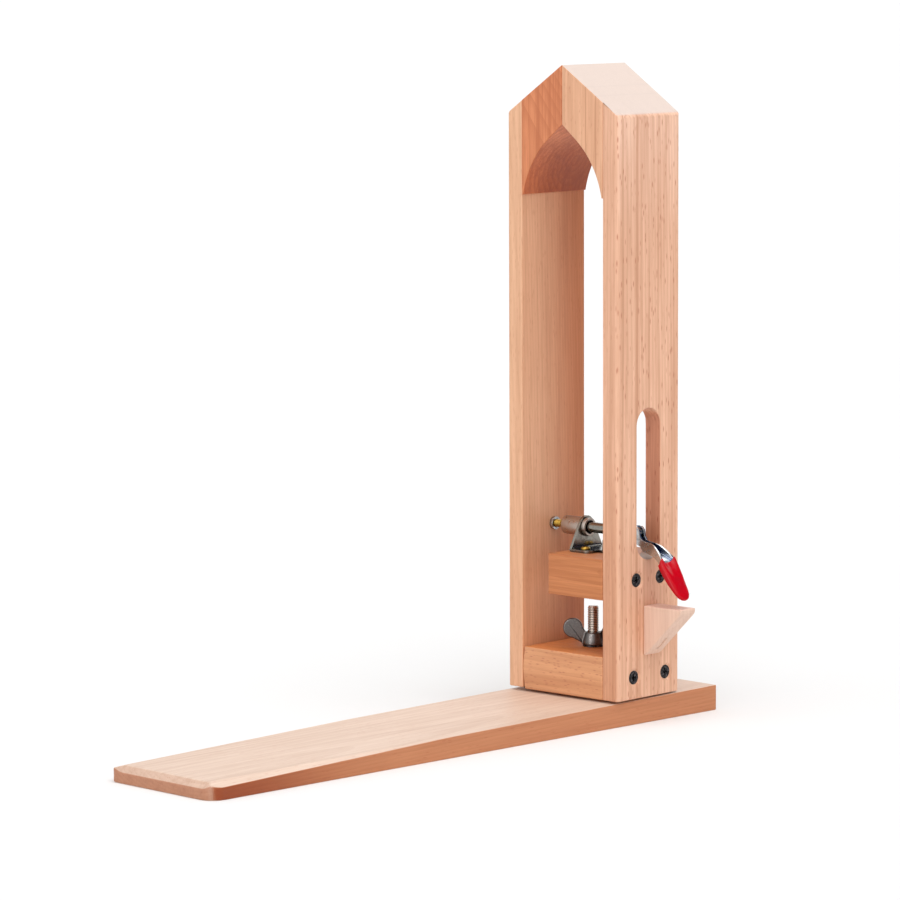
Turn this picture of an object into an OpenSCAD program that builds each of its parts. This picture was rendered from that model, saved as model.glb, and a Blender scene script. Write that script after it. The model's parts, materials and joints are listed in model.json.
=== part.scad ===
// Leather stitching clamp: a wooden board to sit on, a swivelling head with a fixed and a
// rocking jaw, and a push-pull toggle that opens the rocking jaw with one lever.
// Millimetres, +Z up. Origin: centre of the board's underside, +X towards the head.

/* [Base board] */
// Length of the board that the user sits on
board_l = 480; // [420:1:560]
// Width of the board
board_w = 100; // [90:1:130]
// Thickness of the board at the head end
board_t = 18.2; // [16:0.1:26]
// Thickness of the board at the seat end
seat_t = 11.7; // [10:0.1:15]
// Height of the end face left under the end bevel
end_face_h = 7.15; // [4:0.05:9]
// Width of the bevel across the seat end
end_bevel_w = 5.3; // [2:0.1:12]
// Width of the side bevels where they are widest, at the seat end
side_bevel_w = 8.3; // [3:0.1:16]
// Height of the side face left under the side bevels at the seat end
side_face_h = 8.07; // [4:0.05:9]
// Length over which the side bevels run out
side_bevel_run = 211; // [120:1:220]
// Plan radius of the seat end's corners
seat_corner_r = 11; // [4:0.5:20]
// Distance from the head end to the swivel axis
swivel_inset = 75; // [70:1:95]

/* [Swivel] */
// Turn of the head at rest, in degrees
head_turn = 3; // [-30:1:30]
// Diameter of the swivel bolt
bolt_d = 8; // [7:0.1:10]
// Height of the bolt's top above the bottom block
bolt_stand = 28.8; // [24:0.1:36]
// Diameter of the bolt's domed head
bolt_head_d = 20; // [16:0.5:24]
// Height of the bolt's domed head
bolt_head_h = 4; // [3:0.1:5]
// Diameter of the spacer washer under the head
spacer_d = 28; // [20:1:40]
// Gap between the board and the head, at the swivel axis
spacer_gap = 1.5; // [1:0.1:3]
// Depth of the spacer's seat in the board
spacer_seat = 0.6; // [0.5:0.1:1.5]

/* [Wing nut] */
// Diameter of the wing nut's hub
hub_d = 15; // [13:0.5:18]
// Height of the wing nut's hub
hub_h = 9.1; // [7:0.1:11]
// Diameter of each wing's round lobe
wing_lobe_d = 14; // [10:0.5:16]
// Reach of each wing from the bolt's axis
wing_reach = 21.5; // [18:0.5:24]
// Height of the wings above the hub's foot
wing_rise = 19; // [14:0.1:20]
// Thickness of the wings
wing_t = 3.6; // [2.5:0.1:5]
// Plan angle of the wings at rest, in degrees
wing_turn = 133; // [0:1:180]
// Diameter of the washer under the nut
washer_d = 15; // [13:0.5:20]
// Thickness of the washer
washer_t = 1.2; // [1:0.1:2.5]

/* [Head] */
// Width of the jaws and blocks
head_w = 67; // [60:1:80]
// Depth over both jaws
head_d = 102.6; // [96:0.2:120]
// Thickness of each jaw board
jaw_t = 13.8; // [12.5:0.1:18]
// Height of the eaves above the head's underside
eave_h = 409; // [380:1:460]
// Height of the ridge above the eaves
ridge_rise = 34.6; // [28:0.1:42]
// Radius of the jaws' outer upright corners
jaw_corner_r = 2.8; // [1:0.1:4]
// Radius of the eaves' edges
eave_r = 5; // [2:0.5:8]
// Gap between the two closed jaws at the ridge
jaw_gap = 0.3; // [0.2:0.1:1]
// Radius of each side of the arch between the jaws
arch_r = 68; // [60:1:80]
// Slope of the arch's straight top, in degrees
arch_slope = 39.35; // [34:0.05:44]
// Drop from the eaves to where the arch leaves the jaw boards
arch_spring_drop = 69.7; // [66:0.1:76]
// Drop from the eaves to the lower ends of the glued head blocks
head_block_drop = 57; // [52:0.5:59]

/* [Blocks] */
// Height of the bottom block
bottom_h = 30.6; // [26:0.1:36]
// Relief below the line on which the moving jaw rocks, in degrees
rock_relief = 6.5; // [5.5:0.1:9]
// Clearance under the moving jaw
jaw_foot_gap = 0.8; // [0.8:0.1:2]
// Height of the cross block's underside
cross_h0 = 70.6; // [66:0.1:76]
// Thickness of the cross block
cross_t = 28.8; // [24:0.1:32]
// Depth of the cross block out from the fixed jaw
cross_d = 50.8; // [46:0.1:56]
// Width of the lever slot in the fixed jaw
slot_w = 25; // [22:0.5:30]
// Drop of the slot's lower end below the cross block's top
slot_drop = 1.6; // [0.5:0.1:6]
// Length of the lever slot
slot_l = 106.7; // [96:0.1:126]

/* [Stop wedge] */
// Reach of the wedge in front of the fixed jaw
wedge_reach = 34.2; // [28:0.1:40]
// Height of the wedge
wedge_h = 35.5; // [30:0.1:40]
// Width of the wedge
wedge_w = 16; // [12:0.5:24]
// Drop of the wedge's top face below the cross block
wedge_drop = 5.2; // [4:0.1:8]
// Sideways place of the wedge's middle
wedge_x = 2.6; // [0:0.1:6]

/* [Wood screws] */
// Diameter of the screws' countersunk heads
screw_head_d = 10; // [9:0.1:11]
// Diameter of the screws' shanks
screw_d = 4; // [3:0.1:5]
// Length of the screws
screw_l = 40; // [30:1:45]
// Depth to which the screw heads are sunk
screw_sink = 1.1; // [0.4:0.1:1.5]
// Half the spacing of the two upper screws
upper_screw_half = 13; // [11:0.1:18]
// Sideways place of the middle of the upper screws
upper_screw_mid = 1.1; // [0:0.1:3]
// Half the spacing of the two lower screws
lower_screw_half = 17; // [12:0.1:20]
// Sideways place of the middle of the lower screws
lower_screw_mid = 2.3; // [0:0.1:4]

/* [Toggle clamp] */
// Height of the plunger's axis above the cross block
plunger_rise = 16.3; // [15:0.1:20]
// Diameter of the plunger
plunger_d = 7.5; // [7:0.1:8.5]
// Angle through which the moving jaw opens, in degrees
jaw_open = 5; // [3:0.5:5]
// Outer diameter of the guide barrel
barrel_d = 13.4; // [12.5:0.1:15]
// Length of the guide barrel in front of its plate
barrel_l = 17.4; // [14:0.1:20]
// Thickness of the bracket's sheet metal
sheet_t = 2; // [1.6:0.1:2.5]
// Width of the bracket, at the bend between its foot and its plate
foot_w = 35.4; // [33:0.1:40]
// Radius of the upright plate's round top
plate_top_r = 8; // [7.5:0.1:9]
// Diameter of the link pins and of the plunger's pin
pin_d = 4; // [3:0.1:4.5]
// Distance of the lever's two pivots
lever_arm = 5.8; // [5:0.1:6.4]
// Swing of the lever, in degrees
lever_swing = 100; // [80:1:105]
// Thickness of the lever's sheet metal
lever_t = 1.6; // [1.2:0.1:2]
// Reach of the lever from its pivot to the tip of the grip
lever_l = 63; // [56:1:76]
// Half width of the grip's widest part
grip_half_w = 8.5; // [7:0.1:10]

/* [Hidden] */
$fn = 64;

// Running fit of a shaft in its hole, all round
run_fit = 0.07;
// Gap between parts that slide past each other
slide_gap = 0.4;
// Overrun of a cut past the face that it opens
over = 1;

// Board and swivel
swivel_x = board_l / 2 - swivel_inset;
function board_top(x) = seat_t + (board_t - seat_t) * (x + board_l / 2) / board_l;
head_z = board_top(swivel_x) + spacer_gap;
spacer_z = board_top(swivel_x) - spacer_seat;
// Wing nut: shares of the hub's radius and height, and the angles at which a lobe runs into its root
hub_skirt_share = 0.35;
hub_top_share = 0.8;
wing_foot_share = 0.1;
wing_neck_share = 0.72;
lobe_angles = [-38.5, 128.5];
bolt_r = bolt_d / 2;
bolt_sink = bolt_head_h + over;
// Outline of the bolt's domed head, as shares of its radius and of its height from its top
bolt_dome_shares = [[0, 0], [0.6, 0], [0.92, 0.4], [1, 0.75], [1, 1]];
bolt_top = head_z + bottom_h + bolt_stand;

// Head, with heights measured from its underside
half_w = head_w / 2;
half_d = head_d / 2;
jaw_y = half_d - jaw_t;
roof_slope = ridge_rise / half_d;
rock_h = bottom_h / 2;
cross_h1 = cross_h0 + cross_t;
cross_y1 = cross_d - jaw_y;
upper_screw_drop = 1;
upper_screw_h = cross_h0 + cross_t / 2 - upper_screw_drop;
slot_h0 = cross_h1 - slot_drop;
slot_h1 = slot_h0 + slot_l;
wedge_top_h = cross_h0 - wedge_drop;
arch_spring_h = eave_h - arch_spring_drop;
head_block_h = eave_h - head_block_drop;
// Rounded crown of the bottom block's rocking end, as shares of half its height and of its relief
crown_shares = [[0, 0], [0.5, 0.46], [1, 1]];
crown_relief = rock_h * tan(rock_relief);
// Outline of the wedge from its top corner, as shares of its reach and of its height
wedge_shares = [[0, 0], [1, 0], [0.99, -0.09], [0.93, -0.16], [0.6, -0.47], [0.36, -0.7], [0.22, -0.83],
                [0.12, -0.93], [0.05, -0.98], [0, -1]];
nail_hole_d = 2.4;
nail_hole_depth = 6;
nail_shares = [0.3, -0.76];
nail_angle = 45;

// Wood screws
screw_r = screw_d / 2;
screw_head_r = screw_head_d / 2;
screw_cross_w = 1.2;
screw_cross_l = 5;
screw_cross_depth = 1.6;
sink_ring_w = 0.9;
// The moving jaw slides past its screws by this much as it rocks
rock_room = jaw_t * sin(jaw_open) + slide_gap;

// Toggle clamp: heights from the head's underside, depths along the head's +Y
axis_h = cross_h1 + plunger_rise;
stroke = (axis_h - rock_h) * jaw_open * PI / 180;
plunger_r = plunger_d / 2;
pin_r = pin_d / 2;
barrel_r = barrel_d / 2;
barrel_neck_r = 5.2;
collar_l = 3;
collar_recess_r = 4.7;
foot_corner_r = 6;
bend_in_r = 1.2;
bend_out_r = bend_in_r + sheet_t;
foot_front_share = 0.105;
foot_back_d = 17;
plate_y = cross_y1 - foot_front_share * cross_d - sheet_t;
foot_y0 = plate_y - foot_back_d;
nose_stand = 2.1;
barrel_y1 = plate_y + sheet_t + barrel_l;
nose_y = barrel_y1 + nose_stand;
bracket_screw_x = 12;
bracket_screw_y = plate_y - 9;
bracket_screw_r = 1.8;
bracket_screw_head_r = 3.5;
bracket_screw_head_h = 2.2;
// Outline of the bracket screws' heads, as shares of their radius and height
bracket_head_shares = [[1, 0], [1, 0.5], [0.7, 1], [0, 1]];
bracket_screw_l = 14;
nose_chamfer = 0.5;
socket_r = 3;
socket_l = 5.3;
ball_r = 1.9;
ball_sink = 2.3;
spindle_r = 2.8;
spindle_neck_r = 1.3;
shoulder_gap = 1.1;
insert_r = 4.2;
insert_l = 10;
insert_rim_r = 4.6;
insert_rim_t = 2.6;

// Toggle linkage, with angles from the head's +Y towards +Z
lever_back_d = 29.6;
lever_y = foot_y0 - lever_back_d;
arm_angle = -30;
side_gap = 0.3;
link_gap = 0.7;
tang_t = 3;
tang_l = 9.8;
flange_in = tang_t / 2 + side_gap;
flange_out = flange_in + lever_t;
link_in = flange_out + link_gap;
link_t = 1.5;
link_out = link_in + link_t;
link_end_r = 4.4;
ear_t = 1.6;
ear_in = link_out + side_gap;
ear_out = ear_in + ear_t;
ear_r = 4.5;
ear_back_d = 8.1;
ear_rise = 7.4;
ear_pin = [foot_y0 - ear_back_d, cross_h1 + ear_rise];
rivet_r = 1.75;
rivet_head_r = 4;
rivet_head_t = 1.2;

// Place of the lever's link rivet when the lever has swung through an angle
function rivet_at(swing) = [lever_y + stroke * swing / lever_swing + lever_arm * cos(arm_angle - swing),
                            axis_h + lever_arm * sin(arm_angle - swing)];
// The link's end follows the rivet within this distance, which its wide hole takes up
link_play = (rivet_at(0)[1] / 2 + rivet_at(lever_swing)[1] / 2 - rivet_at(lever_swing / 2)[1]) / 2;
eye_shift_share = 0.3;
eye_room_share = 1.1;
link_eye = rivet_at(0) + link_play * [eye_shift_share, -1];
link_eye_r = rivet_r + link_play * eye_room_share + side_gap;

// Lever outline from its pivot, as shares of the lever's length: top edge, then bottom edge
lever_top_shares = [[-0.079, 0.008], [-0.087, -0.035], [-0.113, -0.073], [-0.165, -0.09], [-0.23, -0.096],
                    [-0.294, -0.12], [-0.352, -0.16], [-0.405, -0.205], [-0.45, -0.25], [-0.7, -0.615]];
lever_low_shares = [[0, -0.11], [-0.088, -0.146], [-0.127, -0.196], [-0.222, -0.219], [-0.317, -0.243],
                    [-0.4, -0.29], [-0.46, -0.36], [-0.655, -0.665]];
lever_angle = 229.5;
grip_wall = 1.4;
lever_wide_half = grip_half_w - grip_wall;
lever_tip_share = 0.74;
taper_shares = [0.68, 0.93];
// Corners of the grip, as shares of the lever's reach, and which of them have the lever's full width
grip_top_shares = [[-0.42, -0.222], [-0.585, -0.43], [-0.692, -0.6]];
grip_low_shares = [[-0.446, -0.352], [-0.56, -0.53], [-0.655, -0.648]];
grip_width_shares = [1, 0.97, 0.72];
grip_edge_r = 2.4;
grip_inset = grip_edge_r - grip_wall;
widen_u0 = 15;
widen_u1 = 31;
lobe_r = 5;
rivet_lobe_r = 3.6;
arm_half_share = 0.85;

module on_head() {
    translate([swivel_x, 0, head_z]) rotate([0, 0, head_turn]) children();
}

// A solid with an outline in depth and height, centred on the head's width
module across(width, middle = 0) {
    rotate([90, 0, 90]) translate([0, 0, middle - width / 2]) linear_extrude(width) children();
}

// A shaft, bore or disc along the head's depth, from y0 to y1
module along_y(r, y0, y1, x = 0, h = 0) {
    translate([x, y1, h]) rotate([90, 0, 0]) cylinder(r = r, h = y1 - y0);
}

// A revolved body along the head's depth, with an outline in radius and depth
module turned_along_y(points) {
    rotate([-90, 0, 0]) rotate_extrude() polygon(points);
}

// A countersunk wood screw whose head faces the head's -Y, with its cross recess
module wood_screw() {
    cone_l = screw_head_r - screw_r;
    difference() {
        turned_along_y([[0, 0], [screw_head_r, 0], [screw_r, cone_l], [screw_r, screw_l - screw_d],
                        [0, screw_l]]);
        for (turn = [0, 90]) rotate([0, turn, 0])
            translate([-screw_cross_w / 2, -over, -screw_cross_l / 2])
                cube([screw_cross_w, screw_cross_depth + over, screw_cross_l]);
    }
}

// The hole that a screw leaves in wood: countersink, ring and shank, with room all round
module screw_hole(room) {
    mouth_r = screw_head_r + screw_sink + room + sink_ring_w;
    turned_along_y([[0, -over], [mouth_r + over, -over], [screw_head_r + room, screw_sink],
                    [screw_r + room, screw_sink + screw_head_r - screw_r],
                    [screw_r + room, screw_l + screw_sink + over], [0, screw_l + screw_sink + over]]);
}

// The place of one of the two upper or two lower screws, at a depth of the head
module at_upper_screw(side, y) {
    translate([upper_screw_mid + side * upper_screw_half, y, upper_screw_h]) children();
}

module at_lower_screw(side, y) {
    translate([lower_screw_mid + side * lower_screw_half, y, rock_h]) children();
}

module base_board() {
    x0 = -board_l / 2;
    top_slope = (board_t - seat_t) / board_l;
    bevel_end_z = board_top(x0 + end_bevel_w);
    bevel_x = x0 + side_bevel_run;
    color("burlywood") difference() {
        intersection() {
            rotate([90, 0, 0]) translate([0, 0, -board_w / 2]) linear_extrude(board_w)
                polygon([[x0, 0], [-x0, 0], [-x0, board_t], [x0 + end_bevel_w, bevel_end_z],
                         [x0, end_face_h]]);
            linear_extrude(board_t + over) union() {
                translate([x0 + seat_corner_r, -board_w / 2]) square([board_l - seat_corner_r, board_w]);
                translate([x0, seat_corner_r - board_w / 2])
                    square([board_l, board_w - 2 * seat_corner_r]);
                for (side = [-1, 1])
                    translate([x0 + seat_corner_r, side * (board_w / 2 - seat_corner_r)])
                        circle(seat_corner_r);
            }
        }
        for (side = [0, 1]) mirror([0, side, 0]) side_bevel_cut(x0, bevel_x, top_slope);
        translate([swivel_x, 0, spacer_z]) cylinder(d = spacer_d, h = board_t);
        translate([swivel_x, 0, -over]) cylinder(r = bolt_r, h = board_t + 2 * over);
        translate([swivel_x, 0, -over]) cylinder(d = bolt_head_d + 2 * over, h = bolt_sink + over);
        translate([swivel_x - bolt_r, -bolt_r, 0]) cube([bolt_d, bolt_d, bolt_sink + bolt_head_h]);
    }
}

// The wedge of wood that a side bevel takes off, as a slanted half space along one edge
module side_bevel_cut(x0, x1, top_slope) {
    rise0 = seat_t - side_face_h;
    run_angle = atan2(side_bevel_w, side_bevel_run);
    length = norm([side_bevel_run, side_bevel_w]) * 2;
    climb = atan2(board_top(x1) - seat_t, side_bevel_run);
    edge_drop = atan2(rise0, side_bevel_w * cos(run_angle));
    translate([x1, -board_w / 2, board_top(x1)]) rotate([0, -climb, 0]) rotate([0, 0, -run_angle])
        rotate([edge_drop, 0, 0]) translate([-length, -board_w, 0]) cube([length, board_w, board_w]);
}

module swivel_bolt() {
    head_r = bolt_head_d / 2;
    color("silver") translate([swivel_x, 0, 0]) {
        rotate_extrude() polygon(concat([for (s = bolt_dome_shares)
                                            [s[0] * head_r, over + s[1] * bolt_head_h]],
                                        [[bolt_r, bolt_sink], [bolt_r, bolt_top - nose_chamfer],
                                         [bolt_r - nose_chamfer, bolt_top], [0, bolt_top]]));
        translate([-bolt_r, -bolt_r, bolt_sink]) cube([bolt_d, bolt_d, bolt_head_h]);
    }
}

module spacer_washer() {
    color("dimgray") translate([swivel_x, 0, spacer_z]) difference() {
        cylinder(d = spacer_d, h = head_z - spacer_z);
        translate([0, 0, -over]) cylinder(r = bolt_r, h = board_t);
    }
}

module nut_washer() {
    color("silver") on_head() translate([0, 0, bottom_h]) difference() {
        cylinder(d = washer_d, h = washer_t);
        translate([0, 0, -over]) cylinder(r = bolt_r + run_fit, h = washer_t + 2 * over);
    }
}

module wing_nut() {
    hub_r = hub_d / 2;
    lobe_r = wing_lobe_d / 2;
    lobe_x = wing_reach - lobe_r;
    lobe_z = wing_rise - lobe_r;
    color("dimgray") on_head() translate([0, 0, bottom_h + washer_t]) rotate([0, 0, wing_turn])
        difference() {
            union() {
                rotate_extrude() polygon([[0, 0], [hub_r, 0], [hub_r, hub_h * hub_skirt_share],
                                          [hub_r * hub_top_share, hub_h], [0, hub_h]]);
                for (side = [0, 180]) rotate([90, 0, side]) translate([0, 0, -wing_t / 2])
                    linear_extrude(wing_t) union() {
                        translate([lobe_x, lobe_z]) circle(lobe_r);
                        polygon(concat([[bolt_r + over, hub_h * wing_foot_share],
                                        [hub_r, hub_h * wing_foot_share]],
                                       [for (a = lobe_angles)
                                           [lobe_x + lobe_r * cos(a), lobe_z + lobe_r * sin(a)]],
                                       [[hub_r * wing_neck_share, hub_h], [bolt_r + over, hub_h]]));
                    }
            }
            translate([0, 0, -over]) cylinder(r = bolt_r + run_fit, h = wing_rise + 2 * over);
        }
}

module bottom_block() {
    crown = [for (s = crown_shares) [s[0] * rock_h, jaw_y - s[1] * crown_relief]];
    last = len(crown) - 1;
    color("peru") on_head() difference() {
        across(head_w) polygon(concat([[-jaw_y, 0]],
                                      [for (i = [last : -1 : 1]) [crown[i][1], rock_h - crown[i][0]]],
                                      [for (i = [0 : last]) [crown[i][1], rock_h + crown[i][0]]],
                                      [[-jaw_y, bottom_h]]));
        translate([0, 0, -over]) cylinder(r = bolt_r + run_fit, h = bottom_h + 2 * over);
        for (side = [-1, 1]) {
            at_lower_screw(side, -half_d) screw_hole(0);
            at_lower_screw(side, half_d) rotate([0, 0, 180]) screw_hole(0);
        }
    }
}

module cross_block() {
    color("peru") on_head() difference() {
        translate([-half_w, -jaw_y, cross_h0]) cube([head_w, cross_d, cross_t]);
        for (side = [-1, 1])
            at_upper_screw(side, -half_d) screw_hole(0);
        for (side = [-1, 1])
            translate([side * bracket_screw_x, bracket_screw_y, cross_h1 - bracket_screw_l])
                cylinder(r = bracket_screw_r, h = bracket_screw_l + over);
    }
}

// The jaw board on the +Y side, with its sloping top and rounded corners, from height h0
module jaw_board_blank(h0) {
    inner_roof = eave_h + roof_slope * jaw_t;
    round_drop = eave_r * tan((90 - atan(roof_slope)) / 2);
    intersection() {
        linear_extrude(inner_roof + over) union() {
            translate([-half_w, jaw_y]) square([head_w, jaw_t - jaw_corner_r]);
            translate([jaw_corner_r - half_w, jaw_y]) square([head_w - 2 * jaw_corner_r, jaw_t]);
            for (side = [-1, 1])
                translate([side * (half_w - jaw_corner_r), half_d - jaw_corner_r]) circle(jaw_corner_r);
        }
        across(head_w) difference() {
            polygon([[jaw_y, h0], [half_d, h0], [half_d, eave_h], [jaw_y, inner_roof]]);
            eave_round_cut(round_drop);
        }
    }
}

// The sharp edge that rounding takes off the eaves
module eave_round_cut(drop) {
    difference() {
        polygon([[half_d + over, eave_h - drop], [half_d - eave_r, eave_h - drop],
                 [half_d - drop, eave_h + roof_slope * drop],
                 [half_d + over, eave_h + roof_slope * (drop + over) + over]]);
        translate([half_d - eave_r, eave_h - drop]) circle(eave_r);
    }
}

// The glued upper block of the +Y half, hollowed by its side of the arch
module head_block() {
    centre_y = jaw_y - arch_r;
    bend_y = centre_y + arch_r * sin(arch_slope);
    bend_h = arch_spring_h + arch_r * cos(arch_slope);
    apex_h = bend_h + bend_y * tan(arch_slope);
    across(head_w) difference() {
        polygon([[jaw_gap / 2, head_block_h], [jaw_y, head_block_h], [jaw_y, eave_h + roof_slope * jaw_t],
                 [jaw_gap / 2, eave_h + roof_slope * (half_d - jaw_gap / 2)]]);
        translate([centre_y, arch_spring_h]) circle(arch_r, $fn = 128);
        polygon([[-over, head_block_h - over], [bend_y, head_block_h - over], [bend_y, bend_h],
                 [-over, apex_h + over * tan(arch_slope)]]);
    }
}

module fixed_jaw_board() {
    slot_r = slot_w / 2;
    color("burlywood") on_head() difference() {
        mirror([0, 1, 0]) jaw_board_blank(0);
        for (end_h = [slot_h0 + slot_r, slot_h1 - slot_r])
            along_y(slot_r, -half_d - over, -jaw_y + over, 0, end_h);
        translate([-slot_r, -half_d - over, slot_h0 + slot_r])
            cube([slot_w, jaw_t + 2 * over, slot_h1 - slot_h0 - slot_w]);
        for (side = [-1, 1]) {
            at_upper_screw(side, -half_d) screw_hole(0);
            at_lower_screw(side, -half_d) screw_hole(0);
        }
    }
}

module fixed_jaw_head() {
    color("tan") on_head() mirror([0, 1, 0]) head_block();
}

module moving_jaw_board() {
    color("burlywood") on_head() difference() {
        jaw_board_blank(jaw_foot_gap);
        for (side = [-1, 1])
            at_lower_screw(side, half_d) rotate([0, 0, 180]) screw_hole(rock_room);
        along_y(insert_r, jaw_y - over, jaw_y + insert_l, 0, axis_h);
    }
}

module moving_jaw_head() {
    color("sienna") on_head() head_block();
}

module stop_wedge() {
    color("wheat") on_head() difference() {
        across(wedge_w, wedge_x)
            polygon([for (s = wedge_shares) [-half_d - s[0] * wedge_reach, wedge_top_h + s[1] * wedge_h]]);
        translate([wedge_x, -half_d - nail_shares[0] * wedge_reach,
                   wedge_top_h + nail_shares[1] * wedge_h]) rotate([nail_angle, 0, 0])
            cylinder(d = nail_hole_d, h = 2 * nail_hole_depth, center = true);
    }
}

module jaw_screws_upper() {
    color("black") on_head() for (side = [-1, 1])
        at_upper_screw(side, screw_sink - half_d) wood_screw();
}

module jaw_screws_lower() {
    color("black") on_head() for (side = [-1, 1])
        at_lower_screw(side, screw_sink - half_d) wood_screw();
}

module rocker_screws() {
    color("black") on_head() for (side = [-1, 1])
        at_lower_screw(side, half_d - screw_sink) rotate([0, 0, 180]) wood_screw();
}

module insert_nut() {
    color("silver") on_head() difference() {
        union() {
            along_y(insert_r, jaw_y, jaw_y + insert_l, 0, axis_h);
            along_y(insert_rim_r, jaw_y - insert_rim_t, jaw_y, 0, axis_h);
        }
        along_y(spindle_r, jaw_y - insert_rim_t - over, jaw_y + insert_l + over, 0, axis_h);
    }
}

module spindle() {
    ball_y = nose_y - ball_sink;
    shoulder_y = nose_y + shoulder_gap;
    color("goldenrod") on_head() translate([0, 0, axis_h]) {
        translate([0, ball_y, 0]) sphere(ball_r);
        turned_along_y([[0, ball_y], [spindle_neck_r, ball_y], [spindle_neck_r, shoulder_y],
                        [spindle_r, shoulder_y], [spindle_r, jaw_y + insert_l], [0, jaw_y + insert_l]]);
    }
}

module clamp_bracket() {
    tangent = acos(plate_top_r / norm([foot_w / 2, plunger_rise])) - atan2(plunger_rise, foot_w / 2);
    top_x = plate_top_r * cos(tangent);
    top_h = axis_h + plate_top_r * sin(tangent);
    foot_y1 = plate_y + sheet_t;
    color("lightgray") on_head() difference() {
        union() {
            translate([0, 0, cross_h1]) linear_extrude(sheet_t) {
                translate([-foot_w / 2, foot_y0 + foot_corner_r])
                    square([foot_w, foot_y1 - foot_y0 - foot_corner_r]);
                translate([foot_corner_r - foot_w / 2, foot_y0])
                    square([foot_w - 2 * foot_corner_r, foot_y1 - foot_y0]);
                for (side = [-1, 1])
                    translate([side * (foot_w / 2 - foot_corner_r), foot_y0 + foot_corner_r])
                        circle(foot_corner_r);
                translate([-ear_out, ear_pin[0] - ear_r])
                    square([2 * ear_out, foot_y0 - ear_pin[0] + ear_r + over]);
            }
            translate([0, foot_y1, 0]) rotate([90, 0, 0]) linear_extrude(sheet_t) {
                polygon([[-foot_w / 2, cross_h1], [foot_w / 2, cross_h1], [top_x, top_h], [-top_x, top_h]]);
                translate([0, axis_h]) circle(plate_top_r);
            }
            for (side = [-1, 1]) across(ear_t, side * (ear_in + ear_t / 2)) {
                translate(ear_pin) circle(ear_r);
                translate([ear_pin[0] - ear_r, cross_h1]) square([2 * ear_r, ear_rise]);
            }
            across(foot_w - 2 * bend_out_r) difference() {
                translate([plate_y - bend_in_r, cross_h1]) square(bend_out_r);
                translate([plate_y - bend_in_r, cross_h1 + bend_out_r]) circle(bend_in_r);
            }
        }
        across(head_w) difference() {
            translate([foot_y1 - bend_out_r, cross_h1 - over]) square(bend_out_r + over);
            translate([foot_y1 - bend_out_r, cross_h1 + bend_out_r]) circle(bend_out_r);
        }
        along_y(barrel_neck_r, plate_y - over, foot_y1 + over, 0, axis_h);
        along_pin(pin_r, ear_out + over, ear_pin);
        for (side = [-1, 1])
            translate([side * bracket_screw_x, bracket_screw_y, cross_h1 - over])
                cylinder(r = bracket_screw_r, h = sheet_t + 2 * over);
    }
}

// A shaft or bore across the head, at a place in depth and height
module along_pin(r, half_l, place) {
    across(2 * half_l) translate(place) circle(r);
}

module guide_barrel() {
    y0 = plate_y - collar_l;
    bore_r = plunger_r + run_fit;
    color("silver") on_head() translate([0, 0, axis_h])
        turned_along_y([[bore_r, y0 + collar_l / 2], [collar_recess_r, y0 + collar_l / 2],
                        [collar_recess_r, y0], [barrel_r - nose_chamfer / 2, y0],
                        [barrel_r, plate_y - nose_chamfer],
                        [barrel_r, plate_y], [barrel_neck_r, plate_y],
                        [barrel_neck_r, plate_y + sheet_t], [barrel_r, plate_y + sheet_t],
                        [barrel_r, barrel_y1 - nose_chamfer], [barrel_r - nose_chamfer, barrel_y1],
                        [bore_r, barrel_y1]]);
}

module bracket_screws() {
    color("goldenrod") on_head() for (side = [-1, 1])
        translate([side * bracket_screw_x, bracket_screw_y, cross_h1 + sheet_t])
            rotate_extrude() polygon(concat([[0, -bracket_screw_l - sheet_t],
                                             [bracket_screw_r, -bracket_screw_l], [bracket_screw_r, 0]],
                                            [for (s = bracket_head_shares)
                                                [s[0] * bracket_screw_head_r, s[1] * bracket_screw_head_h]]));
}

module link_pin() {
    color("silver") on_head() union() {
        along_pin(pin_r, ear_out, ear_pin);
        for (side = [-1, 1])
            across(rivet_head_t, side * (ear_out + rivet_head_t / 2))
                translate(ear_pin) circle(rivet_head_r - over);
    }
}

// One flat link, from the bracket's ear to the lever's rivet
module toggle_link(side) {
    reach = link_eye - ear_pin;
    color("lightgray") on_head() across(link_t, side * (link_in + link_t / 2)) difference() {
        union() {
            translate(ear_pin) circle(link_end_r);
            translate(link_eye) circle(link_end_r);
            translate(ear_pin) rotate(atan2(reach[1], reach[0]))
                translate([0, -link_end_r]) square([norm(reach), 2 * link_end_r]);
        }
        translate(ear_pin) circle(pin_r + run_fit);
        translate(link_eye) circle(link_eye_r);
    }
}

module toggle_link_left() { toggle_link(-1); }

module toggle_link_right() { toggle_link(1); }

module plunger() {
    rod_y = lever_y + tang_l;
    ball_room_y = nose_y - socket_l;
    color("gray") on_head() translate([0, 0, axis_h]) difference() {
        union() {
            turned_along_y([[0, rod_y], [plunger_r, rod_y], [plunger_r, nose_y - nose_chamfer],
                            [plunger_r - nose_chamfer / 2, nose_y], [socket_r, nose_y],
                            [socket_r, ball_room_y], [0, ball_room_y]]);
            across(tang_t) {
                translate([lever_y, 0]) circle(plunger_r);
                translate([lever_y, -plunger_r]) square([tang_l, plunger_d]);
            }
        }
        across(tang_t + 2 * over) translate([lever_y, 0]) circle(pin_r);
    }
}

module plunger_pin() {
    color("silver") on_head() along_pin(pin_r, flange_out, [lever_y, axis_h]);
}

module lever_rivets() {
    color("silver") on_head() for (side = [-1, 1]) {
        across(link_out + side_gap - flange_in, side * (link_out + side_gap + flange_in) / 2)
            translate(rivet_at(0)) circle(rivet_r);
        across(rivet_head_t, side * (link_out + side_gap + rivet_head_t / 2))
            translate(rivet_at(0)) circle(rivet_head_r);
    }
}

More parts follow.
